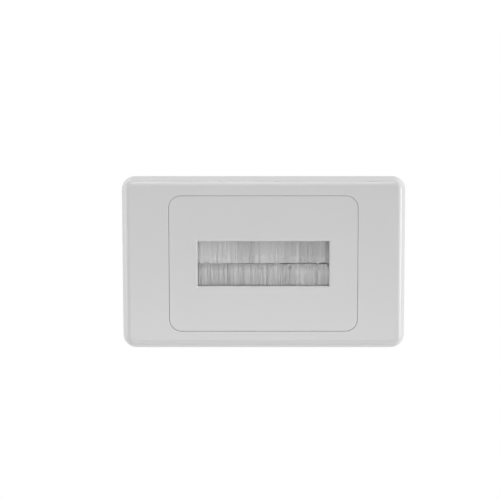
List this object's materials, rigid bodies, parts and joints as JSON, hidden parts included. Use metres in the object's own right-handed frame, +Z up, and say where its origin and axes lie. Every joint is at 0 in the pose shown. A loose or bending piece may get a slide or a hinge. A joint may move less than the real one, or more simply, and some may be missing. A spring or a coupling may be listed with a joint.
{
  "type": "brush wall plate",
  "caption": "White single-gang wall plate with a clip-on surround and a rectangular window closed by facing rows of bristles that part around cables.",
  "frame": {"origin": "on the wall plane, midway between the two fixing slots", "axes": "+X to the right as seen from the front, +Z up, +Y into the wall, so the face looks along -Y"},
  "size_m": [0.115, 0.0085, 0.07],
  "materials": {
    "cover_plastic": "satin white moulded plastic",
    "plate_plastic": "satin white moulded plastic",
    "retainer_plastic": "plain white moulded plastic",
    "bristle_nylon": "pale grey nylon filaments",
    "channel_metal": "folded mill-finish sheet",
    "core_wire_steel": "drawn wire",
    "screw_steel": "zinc plated"
  },
  "bodies": {
    "root": {"surround_cover": "cover_plastic", "grid_plate": "plate_plastic", "upper_brush_channel": "channel_metal", "lower_brush_channel": "channel_metal", "upper_core_wire": "core_wire_steel", "lower_core_wire": "core_wire_steel", "upper_bristles": "bristle_nylon", "lower_bristles": "bristle_nylon", "brush_retainer": "retainer_plastic", "retainer_screws": "screw_steel"}
  },
  "joints": []
}
